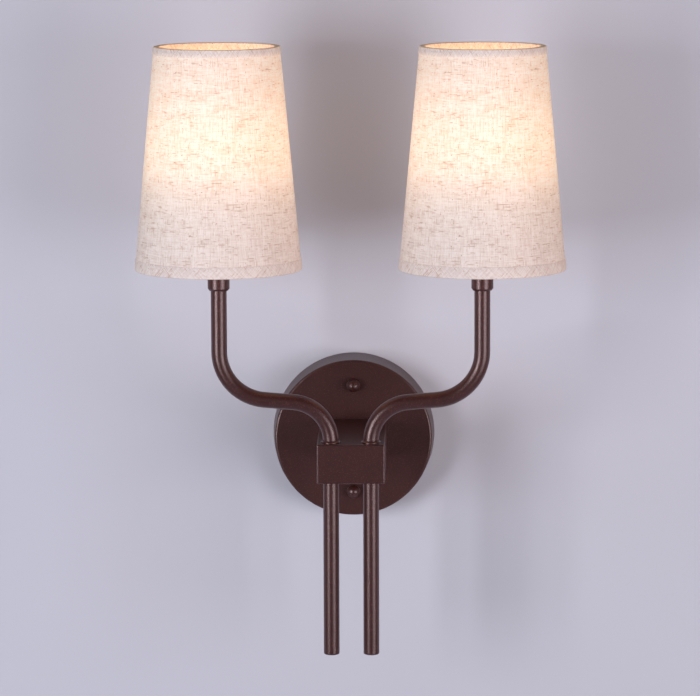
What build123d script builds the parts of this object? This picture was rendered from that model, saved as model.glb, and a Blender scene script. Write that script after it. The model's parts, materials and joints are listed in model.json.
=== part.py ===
"""Double arm wall sconce: a round canopy carries a rectangular stem, two S-bent arms pass down
through the stem as straight tails, and each arm holds a lampholder, a bulb and a tapered shade.

Millimetres. The wall is the plane Y = 0, the front faces -Y, +Z is up, and the origin is the
centre of the wall strap's slots on the wall.
"""

from build123d import *
from math import sqrt
import os

# ---- driving dimensions ----------------------------------------------------------------------

# canopy: a shallow pan, slightly wider at the wall
CANOPY_DEPTH = 29.0
CANOPY_FACE_R = 65.1
CANOPY_RIM_R = 67.4
CANOPY_SHEET = 1.2
CANOPY_EDGE_R = 1.8
STUD_HEIGHT = 44.45
STUD_R = 2.05
STUD_HOLE_R = 2.4
STUD_PROUD = 7.5
STUD_BACK_Y = -1.0
BALL_R = 5.5
BALL_SEAT_R = 3.8
BALL_GAP = 0.05
BALL_HOLE_DEPTH = 8.2

# wall straps: one across for the wall box, one upright for the canopy studs
STRAP_THICK = 1.6
STRAP_END_FLAT = 3.0
BOX_STRAP = (104.0, 19.0)
STUD_STRAP = (16.0, 102.0)
SLOT_CENTRE = 39.69
SLOT_R = 2.3
SLOT_LENGTH = 14.1
EYELET_R = 5.15
EYELET_BORE_R = 4.2
EYELET_FLANGE_R = 7.0
EYELET_FLANGE = 0.8
GROUND_SCREW_X = 24.0
GROUND_SCREW_R = 2.0
GROUND_HEAD = (8.0, 2.6)
STUD_NUT = (8.7, 3.2)

# stem: a hollow rectangular block
STEM_WIDTH = 54.5
STEM_HEIGHT = 31.6
STEM_LENGTH = 127.0
STEM_WALL = 2.0
STEM_EDGE_R = 1.3
BACK_PLATE = 3.0
NIPPLE_R = 4.85
NIPPLE_BORE_R = 3.5
NIPPLE_REACH = (9.0, 10.0)
PIN_X = 16.0
PIN_R = 1.5
PIN_LENGTH = 4.0
WASHER_R = 9.0
WASHER_THICK = 1.0
WASHER_NOTCH_R = 0.9
WASHER_NOTCHES = 12
LOCK_NUT = (15.0, 4.0)

# arms: half inch tube, one S bend, then straight down through the stem
TUBE_R = 6.35
TUBE_WALL = 1.2
ARM_X = 104.8
ARM_BEHIND_FRONT = 12.0
FOOT_X = 16.0
LOW_CORNER_Z = 46.0
HIGH_CORNER_Z = 53.4
LOW_BEND_R = 32.0
HIGH_BEND_R = 39.0
TUBE_TOP_Z = 146.0
TAIL_END_Z = -157.0
WIRE_SLOT = (7.0, 8.0, 15.0)
WIRE_SLOT_CORNER_R = 3.4
WIRE_SLOT_Z = 2.0
PLUG_CAP = 2.2
PLUG_EDGE_R = 1.3
PLUG_SPIGOT = 7.0

# lampholder stack, as heights above the origin
CUP_R = 8.75
CUP_Z = (138.6, 153.0)
CUP_CHAMFER = (1.2, 1.6)
CUP_NIPPLE_Z = (146.6, 161.2)
HOLDER_Z = (153.2, 205.0)
SHOULDER_Z = (176.0, 179.0)
SHOULDER_R = 16.0
SKIRT_R = 13.0
HOLDER_R = 11.0
CHAMBER_R = 7.5
CHAMBER_Z = (161.4, 174.0)
SHELL_R = (6.05, 6.7)
RETAINER_RISE = 6.2
RETAINER_RIBS = 24
RETAINER_RIB_R = 0.7

# bulb: base, neck and tip heights
BULB_Z = (183.0, 207.0, 283.0)
BULB_CAP_R = 6.0
BULB_R = 17.5
GLASS_WALL = 0.8

# shade: four inches over five and a quarter, seven inches down the slope
SHADE_Z = (155.5, 332.6)
SHADE_R = (66.7, 50.3)
BINDING_THICK = 0.4
BINDING_HEIGHT = (9.0, 6.0)
COVER_THICK = 0.7
LINER_THICK = 0.6
LAYER_GAP = 0.1
FRAME_WIRE_R = 1.25
SPOKE_R = 1.4
SPOKE_REACH = 46.0
SPOKE_BEND_R = 8.0
SPOKE_END_GAP = 0.75
SPOKE_ANGLES = (90, 210, 330)
FITTER_THICK = 1.6
FITTER_R = 17.5

# wires
WIRE_R = 0.95
WIRE_PITCH = 1.1
PAIR_X = 1.2
WIRE_TURN_R = 8.0
SPLICE_TURN_R = 5.0
SPREAD_TURN_R = 60.0
SPREAD_Y = (24.0, 32.0)
SPLICE_Y = -12.0
SPLICE_Z = 15.0
SPLICE_GRIP = 6.0
WIRE_TOP_Z = 166.2

# fits
SLIP = 0.05
EASY = 0.15
LOOSE = 0.3
CUT = 1.0

# ---- worked-out places -----------------------------------------------------------------------

STEM_FRONT_Y = -CANOPY_DEPTH - STEM_LENGTH
STEM_TOP_Z = STEM_HEIGHT / 2
ARM_Y = STEM_FRONT_Y + ARM_BEHIND_FRONT
CANOPY_INNER_Y = -CANOPY_DEPTH + CANOPY_SHEET
STUD_STRAP_FRONT_Y = -2 * STRAP_THICK
COVER_INSET = BINDING_THICK + 0.02
LINER_INSET = COVER_INSET + COVER_THICK + LAYER_GAP
WIRE_INSET = LINER_INSET + LINER_THICK + LAYER_GAP + FRAME_WIRE_R
LAYERS_Z = (SHADE_Z[0] + BINDING_THICK + LAYER_GAP, SHADE_Z[1] - BINDING_THICK - LAYER_GAP)
BOTTOM_WIRE_Z = LAYERS_Z[0] + LAYER_GAP + FRAME_WIRE_R
TOP_WIRE_Z = LAYERS_Z[1] - LAYER_GAP - FRAME_WIRE_R
SIDES = {"left": -1, "right": 1}


# ---- helpers ---------------------------------------------------------------------------------


def turned_about_z(*points):
    """Solid of revolution from (radius, height) points."""
    return revolve(make_face(Plane.XZ * Polyline(*points, close=True)), Axis.Z, 360)


def turned_about_y(*points):
    """Solid of revolution from (radius, y) points."""
    return revolve(make_face(Polyline(*points, close=True)), Axis.Y, 360)


def tube_z(outer, inner, low, high):
    """Round tube along Z."""
    return turned_about_z((inner, low), (outer, low), (outer, high), (inner, high))


def tube_y(outer, inner, low, high):
    """Round tube along Y."""
    return turned_about_y((inner, low), (outer, low), (outer, high), (inner, high))


def rod_y(radius, low, high, x=0.0, z=0.0):
    """Round bar along Y."""
    disc = Plane((x, low, z), x_dir=(1, 0, 0), z_dir=(0, 1, 0)) * Circle(radius)
    return extrude(disc, high - low, (0, 1, 0))


def drilled_y(solid, radius, low, high, x=0.0, z=0.0):
    """The solid with a round hole along Y, cut clear of both faces."""
    return solid - rod_y(radius, low - CUT, high + CUT, x, z)


def hex_nut_y(across_flats, bore, low, high, z=0.0):
    """Hexagon nut along Y."""
    plane = Plane((0, low, z), x_dir=(1, 0, 0), z_dir=(0, 1, 0))
    outline = plane * RegularPolygon(across_flats / 2, 6, major_radius=False)
    return drilled_y(extrude(outline, high - low, (0, 1, 0)), bore, low, high, z=z)


def swept_tube(path, radius):
    """Round bar along a path."""
    section = Plane(origin=path @ 0, z_dir=path % 0) * Circle(radius)
    return sweep(section, path)


def at_lamp(shape, side):
    """Moves a piece built on the Z axis to one arm's lamp axis."""
    return Pos(side * ARM_X, ARM_Y, 0) * shape


# ---- canopy and wall straps ------------------------------------------------------------------


def canopy_section():
    """Half section of the pan, with the bend between face and side rounded."""
    hole_r = NIPPLE_R + EASY
    outline = make_face(
        Polyline(
            (hole_r, -CANOPY_DEPTH),
            (CANOPY_FACE_R, -CANOPY_DEPTH),
            (CANOPY_RIM_R, 0),
            (CANOPY_RIM_R - CANOPY_SHEET, 0),
            (CANOPY_FACE_R - CANOPY_SHEET, CANOPY_INNER_Y),
            (hole_r, CANOPY_INNER_Y),
            close=True,
        )
    )
    for inset in (0.0, CANOPY_SHEET):
        corner_x = CANOPY_FACE_R - inset
        corner = outline.vertices().filter_by(lambda v: abs(v.X - corner_x) < SLIP)
        outline = fillet(corner, CANOPY_EDGE_R - inset)
    return outline


def canopy():
    """Spun pan with a centre hole, two stud holes and two holes for the stem's locating pins."""
    pan = revolve(canopy_section(), Axis.Y, 360)
    for sign in (-1, 1):
        pan = drilled_y(pan, STUD_HOLE_R, -CANOPY_DEPTH, CANOPY_INNER_Y, z=sign * STUD_HEIGHT)
        pan = drilled_y(pan, PIN_R + EASY, -CANOPY_DEPTH, CANOPY_INNER_Y, x=sign * PIN_X)
    return pan


def strap(size, front_y):
    """Flat bar with rounded ends and a centre hole for the eyelet."""
    width, height = size
    plane = Plane((0, front_y, 0), x_dir=(1, 0, 0), z_dir=(0, -1, 0))
    outline = plane * RectangleRounded(width, height, min(width, height) / 2 - STRAP_END_FLAT)
    bar = extrude(outline, -STRAP_THICK)
    return drilled_y(bar, EYELET_R + SLIP, front_y, front_y + STRAP_THICK)


def box_strap():
    """Wall box strap with two slots and the ground screw's hole."""
    bar = strap(BOX_STRAP, -STRAP_THICK)
    slot_plane = Plane((0, CUT, 0), x_dir=(1, 0, 0), z_dir=(0, -1, 0))
    for x in (-SLOT_CENTRE, SLOT_CENTRE):
        slot = slot_plane * Pos(x, 0) * SlotOverall(SLOT_LENGTH, 2 * SLOT_R)
        bar -= extrude(slot, STRAP_THICK + 2 * CUT)
    return drilled_y(bar, GROUND_SCREW_R + SLIP, -STRAP_THICK, 0, x=GROUND_SCREW_X)


def stud_strap():
    """Upright strap with two tapped holes for the canopy studs."""
    bar = strap(STUD_STRAP, STUD_STRAP_FRONT_Y)
    for z in (-STUD_HEIGHT, STUD_HEIGHT):
        bar = drilled_y(bar, STUD_R + SLIP, STUD_STRAP_FRONT_Y, 0, z=z)
    return bar


def strap_eyelet():
    """Hollow rivet that joins the two straps."""
    flange_front_y = STUD_STRAP_FRONT_Y - EYELET_FLANGE
    return turned_about_y(
        (EYELET_BORE_R, 0),
        (EYELET_R, 0),
        (EYELET_R, STUD_STRAP_FRONT_Y),
        (EYELET_FLANGE_R, STUD_STRAP_FRONT_Y),
        (EYELET_FLANGE_R, flange_front_y),
        (EYELET_BORE_R, flange_front_y),
    )


def ground_screw():
    """Hexagon-headed ground screw in the wall box strap, with a driver recess."""
    across_flats, height = GROUND_HEAD
    recess_r = 0.6
    floor = 1.0
    head = hex_nut_y(across_flats, recess_r, -STRAP_THICK - height, -STRAP_THICK)
    shank = rod_y(GROUND_SCREW_R, -STRAP_THICK - floor, -LAYER_GAP)
    return Pos(GROUND_SCREW_X, 0, 0) * (head + shank)


def canopy_studs():
    """Two threaded studs, from the upright strap out through the canopy."""
    tip_y = -CANOPY_DEPTH - STUD_PROUD
    return [rod_y(STUD_R, tip_y, STUD_BACK_Y, z=z) for z in (-STUD_HEIGHT, STUD_HEIGHT)]


def stud_lock_nuts():
    """Two nuts that lock the studs to the upright strap."""
    across_flats, height = STUD_NUT
    low = STUD_STRAP_FRONT_Y - height
    return [
        hex_nut_y(across_flats, STUD_R + SLIP, low, STUD_STRAP_FRONT_Y, z=z)
        for z in (-STUD_HEIGHT, STUD_HEIGHT)
    ]


def ball_nut(z):
    """Ball cap nut with a flat seat and a blind tapped hole."""
    seat_y = -CANOPY_DEPTH - BALL_GAP
    centre_y = seat_y - sqrt(BALL_R**2 - BALL_SEAT_R**2)
    ball = Pos(0, centre_y, z) * Sphere(BALL_R)
    ball -= Pos(0, seat_y + BALL_R, z) * Box(4 * BALL_R, 2 * BALL_R, 4 * BALL_R)
    return ball - rod_y(STUD_R + SLIP, seat_y - BALL_HOLE_DEPTH, seat_y + CUT, z=z)


# ---- stem ------------------------------------------------------------------------------------


def stem_block():
    """Hollow block, closed in front, open behind, with two through holes for the arms."""
    centre_y = -CANOPY_DEPTH - STEM_LENGTH / 2
    block = Pos(0, centre_y, 0) * Box(STEM_WIDTH, STEM_LENGTH, STEM_HEIGHT)
    long_edges = block.edges().filter_by(Axis.Y)
    front_edges = block.faces().sort_by(Axis.Y)[0].edges()
    block = fillet(long_edges + front_edges, STEM_EDGE_R)
    inner = Box(STEM_WIDTH - 2 * STEM_WALL, STEM_LENGTH, STEM_HEIGHT - 2 * STEM_WALL)
    block -= Pos(0, centre_y + STEM_WALL, 0) * inner
    hole = Cylinder(TUBE_R + SLIP, STEM_HEIGHT + 2 * CUT)
    for side in SIDES.values():
        block -= Pos(side * FOOT_X, ARM_Y, 0) * hole
    return block


def stem_back_plate():
    """Plate fixed inside the stem's open end, tapped for the nipple, with two locating pins."""
    width = STEM_WIDTH - 2 * STEM_WALL - 2 * SLIP
    height = STEM_HEIGHT - 2 * STEM_WALL - 2 * SLIP
    plate = Pos(0, -CANOPY_DEPTH - BACK_PLATE / 2, 0) * Box(width, BACK_PLATE, height)
    for x in (-PIN_X, PIN_X):
        plate += rod_y(PIN_R, -CANOPY_DEPTH - BACK_PLATE / 2, -CANOPY_DEPTH + PIN_LENGTH, x=x)
    return drilled_y(plate, NIPPLE_R + SLIP, -CANOPY_DEPTH - BACK_PLATE, -CANOPY_DEPTH)


def stem_nipple():
    """Hollow threaded nipple that clamps the stem to the canopy and passes the wires."""
    ahead, behind = NIPPLE_REACH
    return tube_y(NIPPLE_R, NIPPLE_BORE_R, -CANOPY_DEPTH - ahead, -CANOPY_DEPTH + behind)


def stem_lock_washer():
    """Toothed washer between the canopy and the lock nut."""
    high = CANOPY_INNER_Y + WASHER_THICK
    washer = tube_y(WASHER_R, NIPPLE_R + EASY, CANOPY_INNER_Y, high)
    notch = rod_y(WASHER_NOTCH_R, CANOPY_INNER_Y - CUT, high + CUT, x=WASHER_R)
    for step in range(WASHER_NOTCHES):
        washer -= Rot(0, step * 360 / WASHER_NOTCHES, 0) * notch
    return washer


def stem_lock_nut():
    """Hexagon nut on the nipple, inside the canopy."""
    across_flats, height = LOCK_NUT
    low = CANOPY_INNER_Y + WASHER_THICK
    return hex_nut_y(across_flats, NIPPLE_R + SLIP, low, low + height)


# ---- arms ------------------------------------------------------------------------------------


def arm_path(side, bottom, top):
    """Centre line of one arm: tail, low bend, short rising run, high bend, upright."""
    return FilletPolyline(
        (side * FOOT_X, ARM_Y, bottom),
        (side * FOOT_X, ARM_Y, LOW_CORNER_Z),
        (side * ARM_X, ARM_Y, HIGH_CORNER_Z),
        (side * ARM_X, ARM_Y, top),
        radius=[LOW_BEND_R, HIGH_BEND_R],
    )


def arm_tube(side):
    """Bent tube with a slot in its back, inside the stem, where the wires go in."""
    tail_z = TAIL_END_Z + PLUG_CAP
    tube = swept_tube(arm_path(side, tail_z, TUBE_TOP_Z), TUBE_R)
    tube -= swept_tube(arm_path(side, tail_z - CUT, TUBE_TOP_Z + CUT), TUBE_R - TUBE_WALL)
    wire_slot = fillet(Box(*WIRE_SLOT).edges().filter_by(Axis.Y), WIRE_SLOT_CORNER_R)
    return tube - Pos(side * FOOT_X, ARM_Y + TUBE_R, WIRE_SLOT_Z) * wire_slot


def arm_foot_ring(side):
    """Flared ring where the arm enters the stem."""
    bore = TUBE_R + 2 * SLIP
    foot_r, neck_r = 8.0, 7.0
    foot_height, height = 0.8, 2.0
    ring = turned_about_z(
        (bore, 0), (foot_r, 0), (foot_r, foot_height), (neck_r, height), (bore, height)
    )
    return Pos(side * FOOT_X, ARM_Y, STEM_TOP_Z) * ring


def tail_plug(side):
    """Round-edged plug that closes the tail's lower end."""
    standing = (Align.CENTER, Align.CENTER, Align.MIN)
    cap = Cylinder(TUBE_R, PLUG_CAP, align=standing)
    cap = fillet(cap.edges().sort_by(Axis.Z)[0], PLUG_EDGE_R)
    spigot = Cylinder(TUBE_R - TUBE_WALL - SLIP, PLUG_SPIGOT, align=standing)
    return Pos(side * FOOT_X, ARM_Y, TAIL_END_Z) * (cap + Pos(0, 0, PLUG_CAP) * spigot)


# ---- lampholder and bulb ---------------------------------------------------------------------


def socket_cup():
    """Round cup on the arm's upper end, with a chamfered lower edge."""
    low, high = CUP_Z
    inward, upward = CUP_CHAMFER
    tube_bore, nipple_bore = TUBE_R + SLIP, NIPPLE_R + SLIP
    ledge = TUBE_TOP_Z + EASY
    return turned_about_z(
        (tube_bore, low),
        (CUP_R - inward, low),
        (CUP_R, low + upward),
        (CUP_R, high),
        (nipple_bore, high),
        (nipple_bore, ledge),
        (tube_bore, ledge),
    )


def socket_nipple():
    """Hollow threaded nipple between the cup and the lampholder."""
    return tube_z(NIPPLE_R, NIPPLE_BORE_R, *CUP_NIPPLE_Z)


def lampholder_body():
    """Moulded holder: wire chamber below, shoulder and threaded skirt, bulb bore above."""
    low, high = HOLDER_Z
    ledge, floor = SHOULDER_Z
    chamber_low, chamber_high = CHAMBER_Z
    nipple_bore, bulb_bore, rivet_hole = NIPPLE_R + SLIP, SHELL_R[1] + SLIP, 2.0
    foot_edge, mouth_edge, flare = 1.5, 1.0, 3.0
    skirt_end, neck_end = 8.0, 6.0
    return turned_about_z(
        (nipple_bore, low),
        (HOLDER_R - foot_edge, low),
        (HOLDER_R, low + foot_edge),
        (HOLDER_R, ledge - flare),
        (SHOULDER_R, ledge),
        (SHOULDER_R, floor),
        (SKIRT_R, floor),
        (SKIRT_R, high - skirt_end),
        (HOLDER_R, high - neck_end),
        (HOLDER_R, high - mouth_edge),
        (HOLDER_R - mouth_edge, high),
        (bulb_bore, high),
        (bulb_bore, floor),
        (rivet_hole, floor),
        (rivet_hole, chamber_high),
        (CHAMBER_R, chamber_high),
        (CHAMBER_R, chamber_low),
        (nipple_bore, chamber_low),
    )


def lampholder_screw_shell():
    """Thin metal shell that the bulb screws into."""
    inner, outer = SHELL_R
    return tube_z(outer, inner, SHOULDER_Z[1] + CUT, HOLDER_Z[1] - CUT)


def lampholder_contact():
    """Centre contact: a rivet through the floor of the bulb bore, with a raised head."""
    floor = SHOULDER_Z[1]
    rivet_r, rivet_length = 1.9, 6.5
    head_r, head_edge = 3.4, 1.0
    tip_r, tip_rise = 2.0, 2.4
    return turned_about_z(
        (0, floor - rivet_length),
        (rivet_r, floor - rivet_length),
        (rivet_r, floor),
        (head_r, floor),
        (head_r, floor + head_edge),
        (tip_r, floor + tip_rise),
        (0, floor + tip_rise),
    )


def bulb_cap():
    """Screw cap with its centre contact and the collar that holds the glass."""
    base, neck, _ = BULB_Z
    tip_r, tip_drop = 2.2, 1.2
    insulator_r, insulator_rise, thread_rise = 3.4, 0.8, 2.6
    collar_r, collar_low, collar_high = 7.2, 1.6, 3.0
    return turned_about_z(
        (0, base - tip_drop),
        (tip_r, base - tip_drop),
        (insulator_r, base + insulator_rise),
        (BULB_CAP_R, base + thread_rise),
        (BULB_CAP_R, neck),
        (collar_r, neck + collar_low),
        (collar_r, neck + collar_high),
        (0, neck + collar_high),
    )


def bulb_outline(shrink):
    """Half outline of the candle-shaped glass, drawn in by the wall thickness."""
    _, neck, tip = BULB_Z
    low, widest, narrowing = neck + 3.2, neck + 29.2, tip - 18.0
    foot_r, narrow_share = 7.0, 0.6
    side = Spline(
        (foot_r - shrink, low),
        (BULB_R - shrink, widest),
        (BULB_R * narrow_share - shrink, narrowing),
        (0, tip - shrink),
        tangents=[(0.5, 1), (-1, 0)],
    )
    axis = [Line((0, tip - shrink), (0, low)), Line((0, low), side @ 0)]
    return make_face([side, *axis])


def bulb_glass():
    """Hollow candle-shaped glass."""
    outer, inner = (
        revolve(Plane.XZ * bulb_outline(shrink), Axis.Z, 360) for shrink in (0.0, GLASS_WALL)
    )
    return outer - inner


# ---- shade -----------------------------------------------------------------------------------


def shade_radius(z, inset):
    """Radius of the tapered shade at a height, a distance in from its outer face."""
    share = (z - SHADE_Z[0]) / (SHADE_Z[1] - SHADE_Z[0])
    return SHADE_R[0] + share * (SHADE_R[1] - SHADE_R[0]) - inset


def cone_shell(inset, thickness):
    """Tapered layer of the shade, a distance in from its outer face."""
    low, high = LAYERS_Z
    return turned_about_z(
        (shade_radius(low, inset + thickness), low),
        (shade_radius(low, inset), low),
        (shade_radius(high, inset), high),
        (shade_radius(high, inset + thickness), high),
    )


def shade_cover():
    """Woven outer cover."""
    return cone_shell(COVER_INSET, COVER_THICK)


def shade_liner():
    """Stiff translucent liner behind the cover."""
    return cone_shell(LINER_INSET, LINER_THICK)


def wire_ring(z):
    """Round wire ring just inside the liner."""
    return Pos(0, 0, z) * Torus(shade_radius(z, WIRE_INSET), FRAME_WIRE_R)


def shade_spoke(z):
    """One cranked spoke along X, from the fitter down to the bottom wire."""
    ring_r = shade_radius(BOTTOM_WIRE_Z, WIRE_INSET)
    outward, down = ring_r - SPOKE_REACH, z - BOTTOM_WIRE_Z
    share = 1 - SPOKE_END_GAP / sqrt(outward**2 + down**2)
    path = FilletPolyline(
        (SKIRT_R, 0, z),
        (SPOKE_REACH, 0, z),
        (SPOKE_REACH + share * outward, 0, z - share * down),
        radius=SPOKE_BEND_R,
    )
    inside_fitter = tube_z(FITTER_R - 2 * LOOSE, CUT, z - 2 * SPOKE_R, z + 2 * SPOKE_R)
    return swept_tube(path, SPOKE_R) - inside_fitter - wire_ring(BOTTOM_WIRE_Z)


def shade_frame():
    """Flat fitter ring with three cranked spokes welded to it."""
    floor = SHOULDER_Z[1]
    frame = tube_z(FITTER_R, SKIRT_R + LOOSE, floor + SLIP, floor + FITTER_THICK)
    spoke = shade_spoke(floor + FITTER_THICK - SPOKE_R)
    for angle in SPOKE_ANGLES:
        frame += Rot(0, 0, angle) * spoke
    return frame


def shade_bottom_binding():
    """Folded tape round the bottom edge: a band outside and a lip under the layers."""
    low = SHADE_Z[0]
    band_top = low + BINDING_HEIGHT[0]
    lip_top = low + BINDING_THICK
    inner = WIRE_INSET + FRAME_WIRE_R
    return turned_about_z(
        (shade_radius(low, inner), low),
        (shade_radius(low, 0), low),
        (shade_radius(band_top, 0), band_top),
        (shade_radius(band_top, BINDING_THICK), band_top),
        (shade_radius(lip_top, BINDING_THICK), lip_top),
        (shade_radius(lip_top, inner), lip_top),
    )


def shade_top_binding():
    """Folded tape round the top edge, down both faces of the layers."""
    high = SHADE_Z[1]
    foot = high - BINDING_HEIGHT[1]
    under = high - BINDING_THICK
    inner = WIRE_INSET + FRAME_WIRE_R + LAYER_GAP
    return turned_about_z(
        (shade_radius(foot, 0), foot),
        (shade_radius(high, 0), high),
        (shade_radius(high, inner + BINDING_THICK), high),
        (shade_radius(foot, inner + BINDING_THICK), foot),
        (shade_radius(foot, inner), foot),
        (shade_radius(under, inner), under),
        (shade_radius(under, BINDING_THICK), under),
        (shade_radius(foot, BINDING_THICK), foot),
    )


def shade_retainer():
    """Ribbed ring threaded on the lampholder's skirt, which clamps the shade's fitter."""
    low = SHOULDER_Z[1] + FITTER_THICK + 2 * SLIP
    ring = tube_z(FITTER_R, SKIRT_R + SLIP, low, low + RETAINER_RISE)
    rib = Cylinder(RETAINER_RIB_R, RETAINER_RISE - 2 * RETAINER_RIB_R)
    rib = Pos(FITTER_R, 0, low + RETAINER_RISE / 2) * rib
    for step in range(RETAINER_RIBS):
        ring += Rot(0, 0, step * 360 / RETAINER_RIBS) * rib
    return ring


# ---- wiring ----------------------------------------------------------------------------------


def lamp_wire(side, level):
    """One insulated wire, from its splice in the canopy through the stem and the arm."""
    pair_x, foot_x, arm_x = side * PAIR_X, side * FOOT_X, side * ARM_X
    wire_y = ARM_Y + level
    splice_end = level / WIRE_PITCH * (SPLICE_Z + SPLICE_GRIP)
    spread_start, spread_end = SPREAD_Y
    path = FilletPolyline(
        (pair_x, SPLICE_Y, splice_end),
        (pair_x, SPLICE_Y, level),
        (pair_x, -CANOPY_DEPTH - spread_start, level),
        (foot_x, ARM_Y + spread_end, level),
        (foot_x, wire_y, level),
        (foot_x, wire_y, LOW_CORNER_Z),
        (arm_x, wire_y, HIGH_CORNER_Z),
        (arm_x, wire_y, WIRE_TOP_Z),
        radius=[
            SPLICE_TURN_R,
            SPREAD_TURN_R,
            SPREAD_TURN_R,
            WIRE_TURN_R - level,
            LOW_BEND_R,
            HIGH_BEND_R,
        ],
    )
    return swept_tube(path, WIRE_R)


def lamp_wires(side):
    """The two wires of one lamp."""
    return [lamp_wire(side, level) for level in (WIRE_PITCH, -WIRE_PITCH)]


def wire_connectors():
    """Two twist-on connectors inside the canopy, one for each pair of like wires."""
    mouth = SPLICE_Z
    mouth_r, mouth_bore = 5.0, 3.4
    waist, waist_r, bore_end_r = mouth + 8.0, 4.6, 3.2
    shoulder, shoulder_r = mouth + 16.0, 3.2
    tip, tip_r = mouth + 17.0, 2.4
    shell = turned_about_z(
        (mouth_bore, mouth),
        (mouth_r, mouth),
        (waist_r, waist),
        (shoulder_r, shoulder),
        (tip_r, tip),
        (0, tip),
        (0, waist),
        (bore_end_r, waist),
    )
    return [Pos(0, SPLICE_Y, 0) * Rot(turn, 0, 0) * shell for turn in (0, 180)]


# ---- all pieces ------------------------------------------------------------------------------


def centre_pieces():
    """Every piece on the middle line, by name."""
    return {
        "canopy": canopy(),
        "box_strap": box_strap(),
        "stud_strap": stud_strap(),
        "strap_eyelet": strap_eyelet(),
        "ground_screw": ground_screw(),
        "canopy_studs": canopy_studs(),
        "stud_lock_nuts": stud_lock_nuts(),
        "upper_ball_nut": ball_nut(STUD_HEIGHT),
        "lower_ball_nut": ball_nut(-STUD_HEIGHT),
        "stem_block": stem_block(),
        "stem_back_plate": stem_back_plate(),
        "stem_nipple": stem_nipple(),
        "stem_lock_washer": stem_lock_washer(),
        "stem_lock_nut": stem_lock_nut(),
        "wire_connectors": wire_connectors(),
    }


def side_pieces(side):
    """Every piece of one arm, by name."""
    on_lamp_axis = {
        "socket_cup": socket_cup(),
        "socket_nipple": socket_nipple(),
        "lampholder_body": lampholder_body(),
        "lampholder_screw_shell": lampholder_screw_shell(),
        "lampholder_contact": lampholder_contact(),
        "bulb_cap": bulb_cap(),
        "bulb_glass": bulb_glass(),
        "shade_retainer": shade_retainer(),
        "shade_frame": shade_frame(),
        "shade_bottom_wire": wire_ring(BOTTOM_WIRE_Z),
        "shade_top_wire": wire_ring(TOP_WIRE_Z),
        "shade_liner": shade_liner(),
        "shade_cover": shade_cover(),
        "shade_top_binding": shade_top_binding(),
        "shade_bottom_binding": shade_bottom_binding(),
    }
    pieces = {name: at_lamp(shape, side) for name, shape in on_lamp_axis.items()}
    pieces["arm_tube"] = arm_tube(side)
    pieces["arm_foot_ring"] = arm_foot_ring(side)
    pieces["tail_plug"] = tail_plug(side)
    pieces["lamp_wires"] = lamp_wires(side)
    return pieces


def write(name, shape):
    """Writes one piece, or a group of like pieces, to its own file."""
    if isinstance(shape, list):
        shape = Compound(children=[each.solid() for each in shape])
    else:
        shape = shape.solid()
    export_step(shape, f"parts/{name}.step")


os.makedirs("parts", exist_ok=True)
for piece_name, piece in centre_pieces().items():
    write(piece_name, piece)
for side_name, side_sign in SIDES.items():
    for piece_name, piece in side_pieces(side_sign).items():
        write(f"{side_name}_{piece_name}", piece)
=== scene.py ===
"""Looks of the double arm wall sconce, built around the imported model."""

import json
import math

import bpy
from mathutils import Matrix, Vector


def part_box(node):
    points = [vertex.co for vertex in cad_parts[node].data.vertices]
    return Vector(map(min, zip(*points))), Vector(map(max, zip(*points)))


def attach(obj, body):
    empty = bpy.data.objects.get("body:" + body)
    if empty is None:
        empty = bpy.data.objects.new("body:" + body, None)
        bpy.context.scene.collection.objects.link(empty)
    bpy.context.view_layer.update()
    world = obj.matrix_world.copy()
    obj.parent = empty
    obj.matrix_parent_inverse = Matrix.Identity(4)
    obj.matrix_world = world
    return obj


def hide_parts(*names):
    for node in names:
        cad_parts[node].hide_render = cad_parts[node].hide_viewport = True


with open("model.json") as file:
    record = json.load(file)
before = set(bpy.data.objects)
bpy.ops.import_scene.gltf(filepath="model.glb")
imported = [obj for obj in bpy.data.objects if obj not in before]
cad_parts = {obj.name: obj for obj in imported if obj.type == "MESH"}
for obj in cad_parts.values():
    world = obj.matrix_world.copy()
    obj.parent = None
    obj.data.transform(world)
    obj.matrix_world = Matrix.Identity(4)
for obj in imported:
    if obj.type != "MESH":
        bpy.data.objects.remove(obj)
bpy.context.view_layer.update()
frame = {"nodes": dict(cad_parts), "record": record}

MM = 0.001
SIDES = ("left", "right")

# ---- sizes read from the frame ---------------------------------------------------------------


def node_box(name):
    """Lowest corner, highest corner and centre of a CAD node."""
    low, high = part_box(name)
    return low, high, (low + high) / 2


def lamp_axis(side):
    """The upright axis of one lamp, as a point at height zero."""
    _, _, centre = node_box(f"{side}_shade_cover")
    return Vector((centre.x, centre.y, 0.0))


SHADE_LOW = node_box("left_shade_bottom_binding")[0].z
SHADE_HIGH = node_box("left_shade_top_binding")[1].z
SHADE_HEIGHT = SHADE_HIGH - SHADE_LOW
LOW_RADIUS = 66.7 * MM
HIGH_RADIUS = 50.3 * MM
SLOPE = (LOW_RADIUS - HIGH_RADIUS) / SHADE_HEIGHT
COVER_INSET = 0.45 * MM  # from the bindings' outer face in to the cover

# ---- material building -----------------------------------------------------------------------


def srgb(red, green, blue):
    """Linear colour from 0 to 255 display values."""
    values = [c / 255 for c in (red, green, blue)]
    linear = [c / 12.92 if c <= 0.04045 else ((c + 0.055) / 1.055) ** 2.4 for c in values]
    return (*linear, 1.0)


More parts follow.
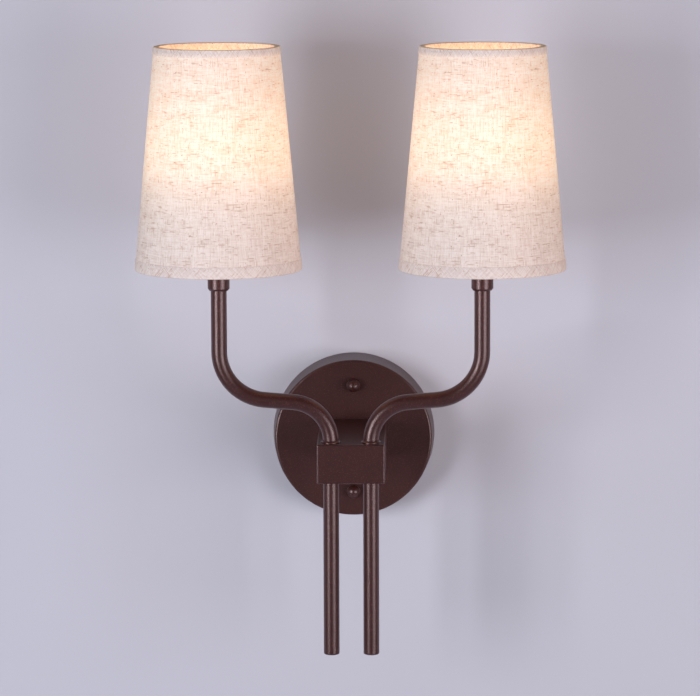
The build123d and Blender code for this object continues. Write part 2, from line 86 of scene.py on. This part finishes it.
class Graph:
    """A material's nodes, with short calls to add and link them."""

    def __init__(self, name):
        self.material = bpy.data.materials.new(name)
        self.material.use_nodes = True
        self.tree = self.material.node_tree
        self.tree.nodes.clear()
        self.output = self.tree.nodes.new("ShaderNodeOutputMaterial")

    def put(self, socket, value):
        """Links a socket, or sets its value."""
        if isinstance(value, bpy.types.NodeSocket):
            self.tree.links.new(value, socket)
        else:
            socket.default_value = value

    def node(self, kind, inputs, **settings):
        """A node with its settings and inputs."""
        made = self.tree.nodes.new("ShaderNode" + kind)
        for key, value in settings.items():
            setattr(made, key, value)
        for key, value in inputs.items():
            self.put(made.inputs[key], value)
        return made

    def math(self, operation, first, second=0.0, clamp=False):
        """One number from two."""
        inputs = {0: first, 1: second}
        return self.node("Math", inputs, operation=operation, use_clamp=clamp).outputs[0]

    def mix(self, factor, first, second):
        """A colour between two."""
        inputs = {0: factor, 6: first, 7: second}
        return self.node("Mix", inputs, data_type="RGBA").outputs[2]

    def times(self, first, second):
        """The product of two colours."""
        product = self.mix(1.0, first, second)
        product.node.blend_type = "MULTIPLY"
        return product

    def grey_ramp(self, factor, stops):
        """A ramp of greys over (place, brightness) stops."""
        made = self.node("ValToRGB", {"Fac": factor})
        elements = made.color_ramp.elements
        while len(elements) < len(stops):
            elements.new(0.5)
        for element, (place, value) in zip(elements, stops):
            element.position = place
            element.color = (value, value, value, 1.0)
        return made.outputs["Color"]

    def level(self, value, low, high):
        """A smooth step of a value between two levels."""
        inputs = {"Value": value, "From Min": low, "From Max": high}
        made = self.node("MapRange", inputs, interpolation_type="SMOOTHSTEP")
        return made.outputs["Result"]

    def scaled(self, value, factor, base):
        """A value times a factor, plus a base."""
        return self.math("ADD", self.math("MULTIPLY", value, factor), base)

    def stretched_noise(self, vector, scale, detail=2.0, roughness=0.5, seed=0.0):
        """Noise with its own scale on each axis, per metre."""
        inputs = {"Vector": vector, "Scale": scale, "Location": (seed, seed * 0.7, seed * 1.3)}
        placed = self.node("Mapping", inputs).outputs["Vector"]
        inputs = {"Vector": placed, "Scale": 1.0, "Detail": detail, "Roughness": roughness}
        return self.node("TexNoise", inputs).outputs["Fac"]

    def bump(self, height, strength, distance):
        """A bumped normal."""
        inputs = {"Height": height, "Strength": strength, "Distance": distance}
        return self.node("Bump", inputs).outputs["Normal"]

    def finish(self, **inputs):
        """A principled surface as the output."""
        named = {key.replace("_", " "): value for key, value in inputs.items()}
        shader = self.node("BsdfPrincipled", named)
        self.tree.links.new(shader.outputs[0], self.output.inputs["Surface"])
        return self.material


def object_place(graph):
    """Position on the object, in metres."""
    return graph.node("TexCoord", {}).outputs["Object"]


# ---- metal and plastic -----------------------------------------------------------------------


def bronze_coat():
    """Dark reddish-brown enamel with a fine metallic grain under a satin skin."""
    graph = Graph("bronze_coat")
    place = object_place(graph)
    grain = graph.stretched_noise(place, (1500, 1500, 1500), detail=3.0, roughness=0.6)
    cloud = graph.stretched_noise(place, (60, 60, 60), detail=3.0, seed=4.0)
    flake = graph.level(graph.stretched_noise(place, (1150, 1150, 1150), seed=9.0), 0.54, 0.72)
    dark = graph.mix(cloud, srgb(46, 20, 19), srgb(55, 25, 23))
    colour = graph.mix(graph.math("MULTIPLY", flake, 0.65), dark, srgb(100, 62, 60))
    rough = graph.scaled(grain, 0.12, 0.27)
    return graph.finish(
        Base_Color=colour,
        Roughness=rough,
        Specular_IOR_Level=0.74,
        Specular_Tint=(1.0, 0.76, 0.8, 1.0),
        Normal=graph.bump(grain, 0.6, 0.00012),
    )


def plated_steel():
    """Zinc-plated strip and hardware with a faint drawn grain and cloudy plating."""
    graph = Graph("plated_steel")
    place = object_place(graph)
    drawn = graph.stretched_noise(place, (60, 900, 2200), detail=3.0)
    cloud = graph.stretched_noise(place, (140, 140, 140), seed=2.0)
    colour = graph.mix(cloud, srgb(168, 170, 172), srgb(205, 204, 196))
    rough = graph.scaled(drawn, 0.25, 0.25)
    return graph.finish(
        Base_Color=colour, Roughness=rough, Metallic=1.0, Normal=graph.bump(drawn, 0.2, 0.0001)
    )


def brass_metal():
    """Stamped brass with light tarnish."""
    graph = Graph("brass_metal")
    cloud = graph.stretched_noise(object_place(graph), (260, 260, 260), detail=3.0)
    colour = graph.mix(cloud, srgb(196, 160, 92), srgb(222, 192, 122))
    rough = graph.scaled(cloud, 0.2, 0.22)
    return graph.finish(Base_Color=colour, Roughness=rough, Metallic=1.0)


def cap_metal():
    """Bright nickel of the bulb's screw cap."""
    graph = Graph("cap_metal")
    cloud = graph.stretched_noise(object_place(graph), (300, 300, 900), detail=3.0)
    rough = graph.scaled(cloud, 0.2, 0.18)
    colour = graph.mix(cloud, srgb(190, 190, 188), srgb(222, 221, 216))
    return graph.finish(Base_Color=colour, Roughness=rough, Metallic=1.0)


def moulded_plastic(name, dark, light, roughness):
    """Moulded plastic with a faint mottled skin."""
    graph = Graph(name)
    mottle = graph.stretched_noise(object_place(graph), (700, 700, 700), detail=3.0)
    rough = graph.scaled(mottle, 0.15, roughness)
    return graph.finish(
        Base_Color=graph.mix(mottle, dark, light),
        Roughness=rough,
        Normal=graph.bump(mottle, 0.2, 0.0001),
    )


# name of the material: its darker and lighter colour, and its least roughness
PLASTICS = {
    "holder_plastic": (srgb(28, 26, 25), srgb(44, 41, 39), 0.4),
    "wire_insulation": (srgb(222, 219, 208), srgb(234, 231, 222), 0.35),
    "connector_plastic": (srgb(206, 108, 38), srgb(222, 124, 52), 0.35),
    "ground_green": (srgb(38, 120, 62), srgb(52, 140, 76), 0.3),
    "frame_wire": (srgb(214, 210, 200), srgb(232, 228, 218), 0.4),
}

# ---- shade materials -------------------------------------------------------------------------


# share of the shade's height, and how strongly the lamp shows through there; the top edge's fold
# is thick, and its inner side is lit
GLOW_STOPS = (
    (0.0, 0.05),
    (0.13, 0.08),
    (0.27, 0.2),
    (0.36, 0.42),
    (0.46, 0.82),
    (0.57, 1.0),
    (0.68, 0.92),
    (0.82, 0.68),
    (0.962, 0.5),
    (0.986, 0.06),
    (0.992, 0.08),
    (1.0, 0.5),
)


def glow_over_height(graph):
    """How strongly the lamp shows through the shade, by height: most beside the bulb."""
    height = graph.node("SeparateXYZ", {0: object_place(graph)}).outputs["Z"]
    share = graph.node(
        "MapRange", {"Value": height, "From Min": SHADE_LOW, "From Max": SHADE_HIGH}
    ).outputs["Result"]
    return graph.grey_ramp(share, GLOW_STOPS)


def cloth_place(graph, turn=0.0):
    """Place on the cloth, along and up, in metres, turned for bias-cut tape."""
    flat = graph.node("Attribute", {}, attribute_name="cloth").outputs["Vector"]
    inputs = {"Vector": flat, "Rotation": (0.0, 0.0, turn)}
    return graph.node("Mapping", inputs).outputs["Vector"]


YARN_PITCH = 0.7 * MM
YARNS_PER_METRE = 1 / YARN_PITCH
WEFT_RUNS = (80, 130)  # changes of tone, and of thickness, per metre of yarn
WARP_RUNS = (95, 155)
KNOT_RUN = 420


def yarn_noise(graph, along, row, scale, row_step, seed, detail=1.0):
    """Noise that runs along each yarn on its own, per metre of yarn."""
    here = graph.math("MULTIPLY", along, scale)
    apart = graph.math("ADD", graph.math("MULTIPLY", row, row_step), seed)
    vector = graph.node("CombineXYZ", {"X": here, "Y": apart, "Z": seed}).outputs["Vector"]
    inputs = {"Vector": vector, "Scale": 1.0, "Detail": detail}
    return graph.node("TexNoise", inputs).outputs["Fac"]


def yarn_set(graph, along, across, drift, seed, runs):
    """One set of yarns: their uneven tone, and their slubs and knots, from 0 to 1."""
    tone_run, slub_run = runs
    row = graph.math("FLOOR", graph.math("MULTIPLY", across, YARNS_PER_METRE))
    tone = yarn_noise(graph, along, row, tone_run, 4.7, seed, detail=2.0)
    slub = graph.math("ADD", yarn_noise(graph, along, row, slub_run, 7.3, seed + 11.3), drift)
    slub = graph.level(slub, 0.6, 0.78)
    knot = graph.level(yarn_noise(graph, along, row, KNOT_RUN, 9.1, seed + 23.9), 0.68, 0.82)
    dark = graph.math("ADD", graph.math("MULTIPLY", slub, 0.7), knot, clamp=True)
    return tone, dark


def linen_weave(graph, place, seed=0.0):
    """Uneven yarns both ways: pale to dark tone, slubs and knots, and the weave's relief."""
    parts = graph.node("SeparateXYZ", {0: place})
    along, up = parts.outputs["X"], parts.outputs["Y"]
    drift = graph.stretched_noise(place, (48, 115, 1), detail=1.0, seed=seed + 3.1)
    drift = graph.math("MULTIPLY", graph.math("SUBTRACT", drift, 0.5), 0.25)
    weft_tone, weft_dark = yarn_set(graph, along, up, drift, seed, WEFT_RUNS)
    warp_tone, warp_dark = yarn_set(graph, up, along, drift, seed + 41.7, WARP_RUNS)
    tone = graph.math("ADD", graph.math("ADD", weft_tone, warp_tone), drift)
    tone = graph.level(tone, 0.72, 1.28)
    warp_dark = graph.math("MULTIPLY", warp_dark, 0.8)
    slubs = graph.math("MAXIMUM", weft_dark, warp_dark)
    waves = graph.math(
        "MULTIPLY",
        graph.math("SINE", graph.math("MULTIPLY", along, math.pi * YARNS_PER_METRE)),
        graph.math("SINE", graph.math("MULTIPLY", up, math.pi * YARNS_PER_METRE)),
    )
    relief = graph.scaled(waves, 0.5, 0.5)
    height = graph.math("ADD", relief, graph.math("MULTIPLY", slubs, 0.9))
    return tone, slubs, height


def linen(name, turn, pale, deep, glow_strength):
    """Natural linen, lit from inside: thick yarns are brown and let less light through."""
    graph = Graph(name)
    tone, slubs, height = linen_weave(graph, cloth_place(graph, turn))
    cloth = graph.mix(tone, pale, deep)
    cloth = graph.mix(graph.math("MULTIPLY", slubs, 0.7), cloth, srgb(160, 106, 76))
    warm = graph.mix(tone, srgb(255, 222, 176), srgb(255, 203, 124))
    warm = graph.mix(graph.math("MULTIPLY", slubs, 0.8), warm, srgb(168, 116, 40))
    return graph.finish(
        Base_Color=cloth,
        Roughness=0.9,
        Specular_IOR_Level=0.15,
        Sheen_Weight=0.3,
        Sheen_Roughness=0.5,
        Sheen_Tint=srgb(255, 226, 212),
        Emission_Color=graph.times(warm, glow_over_height(graph)),
        Emission_Strength=glow_strength,
        Normal=graph.bump(height, 0.3, 0.0002),
    )


def shade_liner():
    """Translucent white liner, bright with lamp light on its inner face."""
    graph = Graph("shade_liner")
    fibres = graph.stretched_noise(object_place(graph), (500, 500, 220), detail=3.0)
    warm = graph.mix(fibres, srgb(255, 205, 128), srgb(255, 214, 142))
    return graph.finish(
        Base_Color=graph.mix(fibres, srgb(206, 188, 168), srgb(216, 200, 182)),
        Roughness=0.6,
        Emission_Color=graph.times(warm, glow_over_height(graph)),
        Emission_Strength=0.46,
        Normal=graph.bump(fibres, 0.15, 0.0001),
    )


def lit_glass():
    """Frosted glass of a lit bulb."""
    graph = Graph("lit_glass")
    frost = graph.stretched_noise(object_place(graph), (900, 900, 900), detail=3.0)
    rough = graph.scaled(frost, 0.2, 0.35)
    return graph.finish(
        Base_Color=srgb(255, 246, 228),
        Roughness=rough,
        Emission_Color=graph.mix(frost, srgb(255, 226, 176), srgb(255, 236, 198)),
        Emission_Strength=2.2,
        Normal=graph.bump(frost, 0.1, 0.00005),
    )


# ---- cloth meshes ----------------------------------------------------------------------------


def shade_radius(height, inset):
    """Radius of the tapered shade at a height, a distance in from its outer face."""
    return LOW_RADIUS - (height - SHADE_LOW) * SLOPE - inset


def new_piece(name, vertices, faces, cloth, side, body, material):
    """A smooth mesh on one lamp's axis, with its place on the flat cloth, riding a body."""
    mesh = bpy.data.meshes.new(name)
    mesh.from_pydata(vertices, [], faces)
    mesh.polygons.foreach_set("use_smooth", [True] * len(mesh.polygons))
    places = mesh.attributes.new("cloth", "FLOAT_VECTOR", "POINT")
    places.data.foreach_set("vector", [c for point in cloth for c in point])
    mesh.materials.append(material)
    piece = bpy.data.objects.new(name, mesh)
    bpy.context.scene.collection.objects.link(piece)
    piece.location = lamp_axis(side)
    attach(piece, body)
    return piece


def lofted(rows, closed):
    """Quad faces over rows of equal length."""
    count = len(rows[0])
    width = count if closed else count - 1
    faces = []
    for row in range(len(rows) - 1):
        for column in range(width):
            following = (column + 1) % count
            faces.append(
                (
                    row * count + column,
                    row * count + following,
                    (row + 1) * count + following,
                    (row + 1) * count + column,
                )
            )
    return faces


ROUND_STEPS = 320
COVER_ROWS = 60
COVER_SHORT = 0.6 * MM  # from the shade's edges to the cover's
SEAM_ANGLE = math.radians(90)  # behind, towards the wall
SEAM_LAP = math.radians(7)
SEAM_STEP = 0.35 * MM


def shade_cover(side, material):
    """The woven cover: one sheet round the shade, its ends lapped behind."""
    low, high = SHADE_LOW + COVER_SHORT, SHADE_HIGH - COVER_SHORT
    sweep = 2 * math.pi + SEAM_LAP
    rows, cloth = [], []
    for row in range(COVER_ROWS + 1):
        height = low + (high - low) * row / COVER_ROWS
        points = []
        for step in range(ROUND_STEPS + 1):
            share = step / ROUND_STEPS
            angle = SEAM_ANGLE + share * sweep
            lap = max(0.0, 1 - share * sweep / SEAM_LAP)
            radius = shade_radius(height, COVER_INSET + SEAM_STEP * lap)
            points.append((radius * math.cos(angle), radius * math.sin(angle), height))
            cloth.append((share * sweep * LOW_RADIUS, height - low, 0.0))
        rows.append(points)
    vertices = [point for row in rows for point in row]
    name = f"{side}_linen_cover"
    piece = new_piece(
        name, vertices, lofted(rows, False), cloth, side, f"{side}_shade", material
    )
    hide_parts(f"{side}_shade_cover")
    return piece


TAPE_WOBBLE = 0.12 * MM
WOBBLE_DEPTH = 0.5 * MM  # the tape's raw edge lies within this depth, and wobbles
FOLD_RADIUS = 1.1 * MM


def tape(side, name, profile, replaced, material, seed):
    """A folded tape: a line of (inset, height) points swept round the shade."""
    rows, cloth = [], []
    along = 0.0
    for index, (inset, height) in enumerate(profile):
        points = []
        for step in range(ROUND_STEPS):
            angle = 2 * math.pi * step / ROUND_STEPS
            wobble = TAPE_WOBBLE * math.sin(7 * angle + seed) * math.sin(3 * angle + 2 * seed)
            radius = shade_radius(height, inset)
            height_here = height + wobble * (0.0 < inset < WOBBLE_DEPTH)
            points.append((radius * math.cos(angle), radius * math.sin(angle), height_here))
            cloth.append((angle * LOW_RADIUS, along, 0.0))
        rows.append(points)
        if index + 1 < len(profile):
            along += math.dist((inset, height), profile[index + 1])
    vertices = [point for row in rows for point in row]
    piece = new_piece(
        f"{side}_{name}",
        vertices,
        lofted(rows, True),
        cloth,
        side,
        f"{side}_shade",
        material,
    )
    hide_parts(f"{side}_{replaced}")
    return piece


def arc(centre, radius, start, end, steps):
    """Points on an arc, angles in degrees."""
    turn = (end - start) / steps
    return [
        (
            centre[0] + radius * math.cos(math.radians(start + turn * k)),
            centre[1] + radius * math.sin(math.radians(start + turn * k)),
        )
        for k in range(steps + 1)
    ]


def top_tape(side, material):
    """Tape folded over the top edge: band outside, round fold, band inside."""
    edge, reach = SHADE_HIGH, 6.2 * MM
    inner, fold = 4.9 * MM, FOLD_RADIUS
    profile = [(0.42 * MM, edge - reach), (0.2 * MM, edge - reach + 0.25 * MM)]
    profile += [(0.0, edge - reach + 0.7 * MM), (0.0, edge - 3 * MM)]
    profile += arc((fold, edge - fold), -fold, 0, -90, 6)
    profile += arc((inner - fold, edge - fold), fold, 90, 0, 6)
    profile += [(inner, edge - 4 * MM), (inner - 0.1 * MM, edge - 6 * MM)]
    return tape(side, "top_tape", profile, "shade_top_binding", material, 0.6)


def bottom_tape(side, material):
    """Tape folded under the bottom edge."""
    edge, reach = SHADE_LOW, 9.2 * MM
    inner, fold = 4.6 * MM, FOLD_RADIUS
    profile = [(0.42 * MM, edge + reach), (0.2 * MM, edge + reach - 0.25 * MM)]
    profile += [(0.0, edge + reach - 0.7 * MM), (0.0, edge + 3 * MM)]
    profile += arc((fold, edge + fold), fold, 180, 270, 6)
    profile += arc((inner - fold, edge + fold), fold, 270, 330, 4)
    return tape(side, "bottom_tape", profile, "shade_bottom_binding", material, 1.9)


# ---- stage, lights and camera ----------------------------------------------------------------

# the camera that was fitted to the photograph
CAMERA_PLACE = (0.0528198, -3.0931267, 0.5228045)
CAMERA_TURN = (1.4258288, 0.0032454, 0.0176016)
CAMERA_LENS = 192.46
LAMP_CENTRE = Vector((0.0, -0.14, 0.08))
BULB_COLOUR = (1.0, 0.6, 0.32)
BULB_POWER, BULB_SIZE, BULB_ABOVE_GLASS = 0.056, 0.012, 0.018
THROUGH_POWER, THROUGH_SIZE, THROUGH_HEIGHT = 0.125, 0.03, 0.57
WALL_Y = 0.0006  # just behind the canopy's rim
FLOOR_Z = -1.4
STAGE_REACH = 3.0
WORLD_COLOUR = srgb(196, 193, 206)
WORLD_BELOW, WORLD_ABOVE = 0.182, 0.104


def stage_material():
    """Pale wall and floor paint, clear from behind."""
    graph = Graph("stage_paint")
    cloud = graph.stretched_noise(object_place(graph), (3, 3, 3), detail=3.0)
    colour = graph.mix(cloud, srgb(191, 191, 207), srgb(195, 195, 211))
    paint = graph.node("BsdfDiffuse", {"Color": colour})
    behind = graph.node("NewGeometry", {}).outputs["Backfacing"]
    clear = graph.node("BsdfTransparent", {})
    inputs = {0: behind, 1: paint.outputs[0], 2: clear.outputs[0]}
    shader = graph.node("MixShader", inputs)
    graph.tree.links.new(shader.outputs[0], graph.output.inputs["Surface"])
    return graph.material


def stage_plane(name, corners, material):
    """A flat stage surface, seen by the camera and in reflections, that stops no light."""
    mesh = bpy.data.meshes.new(name)
    mesh.from_pydata(corners, [], [(0, 1, 2, 3)])
    mesh.materials.append(material)
    plane = bpy.data.objects.new(name, mesh)
    bpy.context.scene.collection.objects.link(plane)
    for ray in ("diffuse", "shadow", "volume_scatter"):
        setattr(plane, f"visible_{ray}", False)
    return plane


SOFTBOX_REACH = 2.2
CLOTH_PASSES = 0.27  # the share of a softbox's light that the shades don't stop
# name, bearing from the front in degrees, height, size and power
SOFTBOXES = (
    ("left_softbox", -40, 0.1, (0.7, 1.0), 32),
    ("right_softbox", 42, -0.08, (1.2, 1.05), 25.4),
)
# name, bearing, height, power and colour
FILLS = (
    ("left_fill", -76, 0.1, 7.2, (0.78, 0.97, 1.0)),
    ("right_fill", 76, -0.05, 13.4, (1.0, 0.72, 0.52)),
)
FILL_SIZE = (1.2, 1.2)
REAR_BEARING, REAR_HEIGHT, REAR_SIZE = 180, 0.25, (1.6, 1.6)


def softbox(name, bearing, height, size, power):
    """A soft rectangular light on a circle round the lamp, its bearing from the front."""
    lamp = bpy.data.lights.new(name, "AREA")
    lamp.shape = "RECTANGLE"
    lamp.size, lamp.size_y = size
    lamp.energy = power
    holder = bpy.data.objects.new(name, lamp)
    turn = math.radians(bearing)
    away = Vector((math.sin(turn), -math.cos(turn), 0.0))
    holder.location = LAMP_CENTRE + SOFTBOX_REACH * away
    holder.location.z = height
    holder.rotation_euler = (-away).to_track_quat("-Z", "Y").to_euler()
    bpy.context.scene.collection.objects.link(holder)
    return holder


def softbox_pair(name, bearing, height, size, power, thin_cloth):
    """A softbox in two parts: one that cloth stops, and one that it lets through."""
    softbox(name, bearing, height, size, power * (1 - CLOTH_PASSES))
    passing = softbox(f"{name}_through", bearing, height, size, power * CLOTH_PASSES)
    passing.light_linking.blocker_collection = thin_cloth


def light_group(name, pieces, state):
    """A collection of pieces for a light to take in, or to pass over."""
    group = bpy.data.collections.new(name)
    for piece in pieces:
        group.objects.link(piece)
    for member in group.collection_objects:
        member.light_linking.link_state = state
    return group


def point_light(name, place, power, size, shadows):
    """A warm light in a lamp."""
    lamp = bpy.data.lights.new(name, "POINT")
    lamp.energy = power
    lamp.color = BULB_COLOUR
    lamp.shadow_soft_size = size
    lamp.use_shadow = shadows
    holder = bpy.data.objects.new(name, lamp)
    holder.location = place
    bpy.context.scene.collection.objects.link(holder)
    return holder


def lamp_lights(side, stage_only):
    """Light of one lamp: straight from the bulb's tip, and let through onto the stage."""
    axis = lamp_axis(side)
    tip = axis + Vector((0, 0, node_box(f"{side}_bulb_glass")[1].z + BULB_ABOVE_GLASS))
    point_light(f"{side}_bulb_light", tip, BULB_POWER, BULB_SIZE, True)
    middle = axis + Vector((0, 0, SHADE_LOW + THROUGH_HEIGHT * SHADE_HEIGHT))
    glow = point_light(f"{side}_shade_light", middle, THROUGH_POWER, THROUGH_SIZE, False)
    glow.light_linking.receiver_collection = stage_only


def nodes_in(*slots):
    """CAD nodes whose finish is one of these material slots."""
    subparts = frame["record"]["subparts"]
    return [frame["nodes"][part["node"]] for part in subparts if part["material_slot"] in slots]


def rear_lights():
    """Light from behind the wall, strong on the fittings there and soft on the shades."""
    coated = nodes_in("bronze")
    fittings = nodes_in("zinc_steel", "wire_insulation", "connector_plastic", "ground_green")
    for name, pieces, state, power, shine in (
        ("rear_on_coated", coated, "INCLUDE", 24, False),
        ("rear_on_fittings", fittings, "INCLUDE", 34, True),
        ("rear_on_shades", coated + fittings, "EXCLUDE", 5, False),
    ):
        light = softbox(name, REAR_BEARING, REAR_HEIGHT, REAR_SIZE, power)
        light.visible_glossy = shine
        light.light_linking.receiver_collection = light_group(name, pieces, state)


def build_stage(cloth):
    """Wall, floor, lights and world."""
    material = stage_material()
    reach = STAGE_REACH
    foot = [(-reach, WALL_Y, FLOOR_Z), (reach, WALL_Y, FLOOR_Z)]
    wall = foot + [(reach, WALL_Y, reach), (-reach, WALL_Y, reach)]
    floor = [(-reach, -reach, FLOOR_Z), (reach, -reach, FLOOR_Z)] + foot[::-1]
    planes = [stage_plane("wall", wall, material), stage_plane("floor", floor, material)]
    thin_cloth = light_group("thin_cloth", cloth, "EXCLUDE")
    stage_only = light_group("stage_only", planes, "INCLUDE")
    for name, bearing, height, size, power in SOFTBOXES:
        softbox_pair(name, bearing, height, size, power, thin_cloth)
    for name, bearing, height, power, colour in FILLS:
        fill = softbox(name, bearing, height, FILL_SIZE, power)
        fill.data.color = colour
        fill.visible_glossy = False
        fill.light_linking.blocker_collection = thin_cloth
    rear_lights()
    for side in SIDES:
        lamp_lights(side, stage_only)
    bpy.context.scene.world = studio_world()


def studio_world():
    """Even room light, a little dimmer from above."""
    world = bpy.data.worlds.new("studio")
    world.use_nodes = True
    tree = world.node_tree
    coordinates = tree.nodes.new("ShaderNodeTexCoord")
    parts = tree.nodes.new("ShaderNodeSeparateXYZ")
    height = tree.nodes.new("ShaderNodeMapRange")
    height.interpolation_type = "SMOOTHSTEP"
    settings = {"From Min": -0.1, "From Max": 0.8, "To Min": WORLD_BELOW, "To Max": WORLD_ABOVE}
    for key, value in settings.items():
        height.inputs[key].default_value = value
    background = tree.nodes["Background"]
    background.inputs["Color"].default_value = WORLD_COLOUR
    tree.links.new(coordinates.outputs["Generated"], parts.inputs[0])
    tree.links.new(parts.outputs["Z"], height.inputs["Value"])
    tree.links.new(height.outputs["Result"], background.inputs["Strength"])
    return world


def build_camera():
    """Camera at the photograph's angle: a long lens, a little above and to the right."""
    data = bpy.data.cameras.new("camera")
    data.sensor_width = 36.0
    data.lens = CAMERA_LENS
    camera = bpy.data.objects.new("camera", data)
    camera.location = CAMERA_PLACE
    camera.rotation_mode = "XYZ"
    camera.rotation_euler = CAMERA_TURN
    bpy.context.scene.collection.objects.link(camera)
    bpy.context.scene.camera = camera


# ---- materials on the CAD nodes --------------------------------------------------------------


def paint_nodes():
    """Gives every CAD node that shows its finish, by the record's slot."""
    by_slot = {
        "bronze": bronze_coat(),
        "zinc_steel": plated_steel(),
        "brass": brass_metal(),
        "bulb_cap_metal": cap_metal(),
        "liner": shade_liner(),
        "bulb_glass": lit_glass(),
    }
    for name, (dark, light, roughness) in PLASTICS.items():
        by_slot[name] = moulded_plastic(name, dark, light, roughness)
    for entry in frame["record"]["subparts"]:
        material = by_slot.get(entry["material_slot"])
        if material is None:
            continue
        for slot in frame["nodes"][entry["node"]].material_slots:
            slot.material = material


paint_nodes()
cover_linen = linen("cover_linen", 0.0, srgb(236, 222, 220), srgb(218, 200, 197), 0.5)
tape_linen = linen("tape_linen", math.pi / 4, srgb(233, 220, 220), srgb(215, 198, 197), 0.42)
shade_cloth = [frame["nodes"][f"{side_name}_shade_liner"] for side_name in SIDES]
for side_name in SIDES:
    shade_cloth.append(shade_cover(side_name, cover_linen))
    shade_cloth.append(top_tape(side_name, tape_linen))
    shade_cloth.append(bottom_tape(side_name, tape_linen))
build_stage(shade_cloth)
build_camera()

bpy.context.scene.view_settings.view_transform = "Standard"
